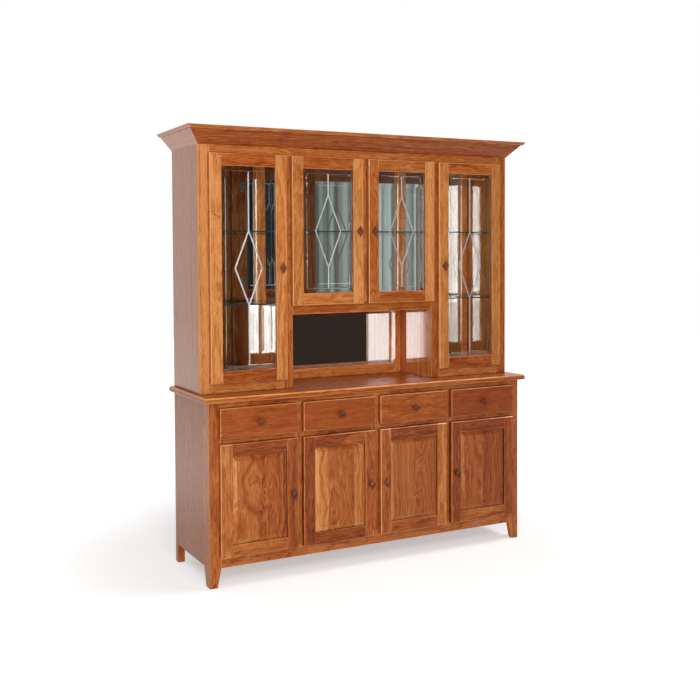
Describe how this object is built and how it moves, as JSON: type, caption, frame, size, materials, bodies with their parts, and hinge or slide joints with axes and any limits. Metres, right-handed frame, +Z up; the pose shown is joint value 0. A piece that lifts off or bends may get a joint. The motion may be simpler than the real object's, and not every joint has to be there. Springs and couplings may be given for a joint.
{
  "type": "sideboard with china hutch",
  "caption": "Cherry sideboard with a china hutch: drawers over raised-panel doors on tapered feet below, mirrored cabinet with glass doors and an open nook above.",
  "frame": {"origin": "on the floor under the middle of the whole piece", "axes": "+X to the viewer's right along the front, +Y from front to back, +Z up"},
  "size_m": [1.898, 0.5006, 2.083],
  "materials": {
    "cherry": "satin lacquer",
    "plywood": "stained",
    "drawer_maple": "clear lacquer",
    "knob_wood": "satin lacquer",
    "door_glass": "polished",
    "shelf_glass": "polished",
    "mirror": "silvered",
    "pin_brass": "plated",
    "hinge_steel": "nickel plated"
  },
  "bodies": {
    "cabinet": {"base_posts": "cherry", "base_sides": "cherry", "base_face_frame": "cherry", "base_floor_and_shelves": "cherry", "base_back": "plywood", "drawer_runners": "drawer_maple", "countertop": "cherry", "hutch_sides": "cherry", "hutch_decks": "cherry", "hutch_face_frame": "cherry", "hutch_back": "plywood", "mirrors": "mirror", "glass_shelves": "shelf_glass", "shelf_pins": "pin_brass", "crown_molding": "cherry", "hinge_plates": "hinge_steel"},
    "drawer_1": {"drawer_1_front": "cherry", "drawer_1_box": "drawer_maple", "drawer_1_knob": "knob_wood"},
    "base_door_1": {"base_door_1_frame": "cherry", "base_door_1_panel": "cherry", "base_door_1_hinge_cups": "hinge_steel", "base_door_1_knob": "knob_wood"},
    "hutch_door_1": {"hutch_door_1_frame": "cherry", "hutch_door_1_glass": "door_glass", "hutch_door_1_hinge_cups": "hinge_steel", "hutch_door_1_knob": "knob_wood"},
    "drawer_2": {"drawer_2_front": "cherry", "drawer_2_box": "drawer_maple", "drawer_2_knob": "knob_wood"},
    "base_door_2": {"base_door_2_frame": "cherry", "base_door_2_panel": "cherry", "base_door_2_hinge_cups": "hinge_steel", "base_door_2_knob": "knob_wood"},
    "hutch_door_2": {"hutch_door_2_frame": "cherry", "hutch_door_2_glass": "door_glass", "hutch_door_2_hinge_cups": "hinge_steel", "hutch_door_2_knob": "knob_wood"},
    "drawer_3": {"drawer_3_front": "cherry", "drawer_3_box": "drawer_maple", "drawer_3_knob": "knob_wood"},
    "base_door_3": {"base_door_3_frame": "cherry", "base_door_3_panel": "cherry", "base_door_3_hinge_cups": "hinge_steel", "base_door_3_knob": "knob_wood"},
    "hutch_door_3": {"hutch_door_3_frame": "cherry", "hutch_door_3_glass": "door_glass", "hutch_door_3_hinge_cups": "hinge_steel", "hutch_door_3_knob": "knob_wood"},
    "drawer_4": {"drawer_4_front": "cherry", "drawer_4_box": "drawer_maple", "drawer_4_knob": "knob_wood"},
    "base_door_4": {"base_door_4_frame": "cherry", "base_door_4_panel": "cherry", "base_door_4_hinge_cups": "hinge_steel", "base_door_4_knob": "knob_wood"},
    "hutch_door_4": {"hutch_door_4_frame": "cherry", "hutch_door_4_glass": "door_glass", "hutch_door_4_hinge_cups": "hinge_steel", "hutch_door_4_knob": "knob_wood"}
  },
  "joints": [
    {"name": "drawer_1_slide", "type": "slide", "parent": "cabinet", "child": "drawer_1", "axis": [0, -1, 0], "range_m": [0, 0.3]},
    {"name": "base_door_1_hinge", "type": "hinge", "parent": "cabinet", "child": "base_door_1", "pos_m": [-0.8185, -0.21225, 0.3925], "axis": [0, 0, -1], "range_deg": [0, 105]},
    {"name": "hutch_door_1_hinge", "type": "hinge", "parent": "cabinet", "child": "hutch_door_1", "pos_m": [-0.8185, -0.11025, 1.438], "axis": [0, 0, -1], "range_deg": [0, 105]},
    {"name": "drawer_2_slide", "type": "slide", "parent": "cabinet", "child": "drawer_2", "axis": [0, -1, 0], "range_m": [0, 0.3]},
    {"name": "base_door_2_hinge", "type": "hinge", "parent": "cabinet", "child": "base_door_2", "pos_m": [-0.3985, -0.21225, 0.3925], "axis": [0, 0, -1], "range_deg": [0, 105]},
    {"name": "hutch_door_2_hinge", "type": "hinge", "parent": "cabinet", "child": "hutch_door_2", "pos_m": [-0.3985, -0.11025, 1.612], "axis": [0, 0, -1], "range_deg": [0, 105]},
    {"name": "drawer_3_slide", "type": "slide", "parent": "cabinet", "child": "drawer_3", "axis": [0, -1, 0], "range_m": [0, 0.3]},
    {"name": "base_door_3_hinge", "type": "hinge", "parent": "cabinet", "child": "base_door_3", "pos_m": [0.3985, -0.21225, 0.3925], "axis": [0, 0, 1], "range_deg": [0, 105]},
    {"name": "hutch_door_3_hinge", "type": "hinge", "parent": "cabinet", "child": "hutch_door_3", "pos_m": [0.3985, -0.11025, 1.612], "axis": [0, 0, 1], "range_deg": [0, 105]},
    {"name": "drawer_4_slide", "type": "slide", "parent": "cabinet", "child": "drawer_4", "axis": [0, -1, 0], "range_m": [0, 0.3]},
    {"name": "base_door_4_hinge", "type": "hinge", "parent": "cabinet", "child": "base_door_4", "pos_m": [0.8185, -0.21225, 0.3925], "axis": [0, 0, 1], "range_deg": [0, 105]},
    {"name": "hutch_door_4_hinge", "type": "hinge", "parent": "cabinet", "child": "hutch_door_4", "pos_m": [0.8185, -0.11025, 1.438], "axis": [0, 0, 1], "range_deg": [0, 105]}
  ]
}
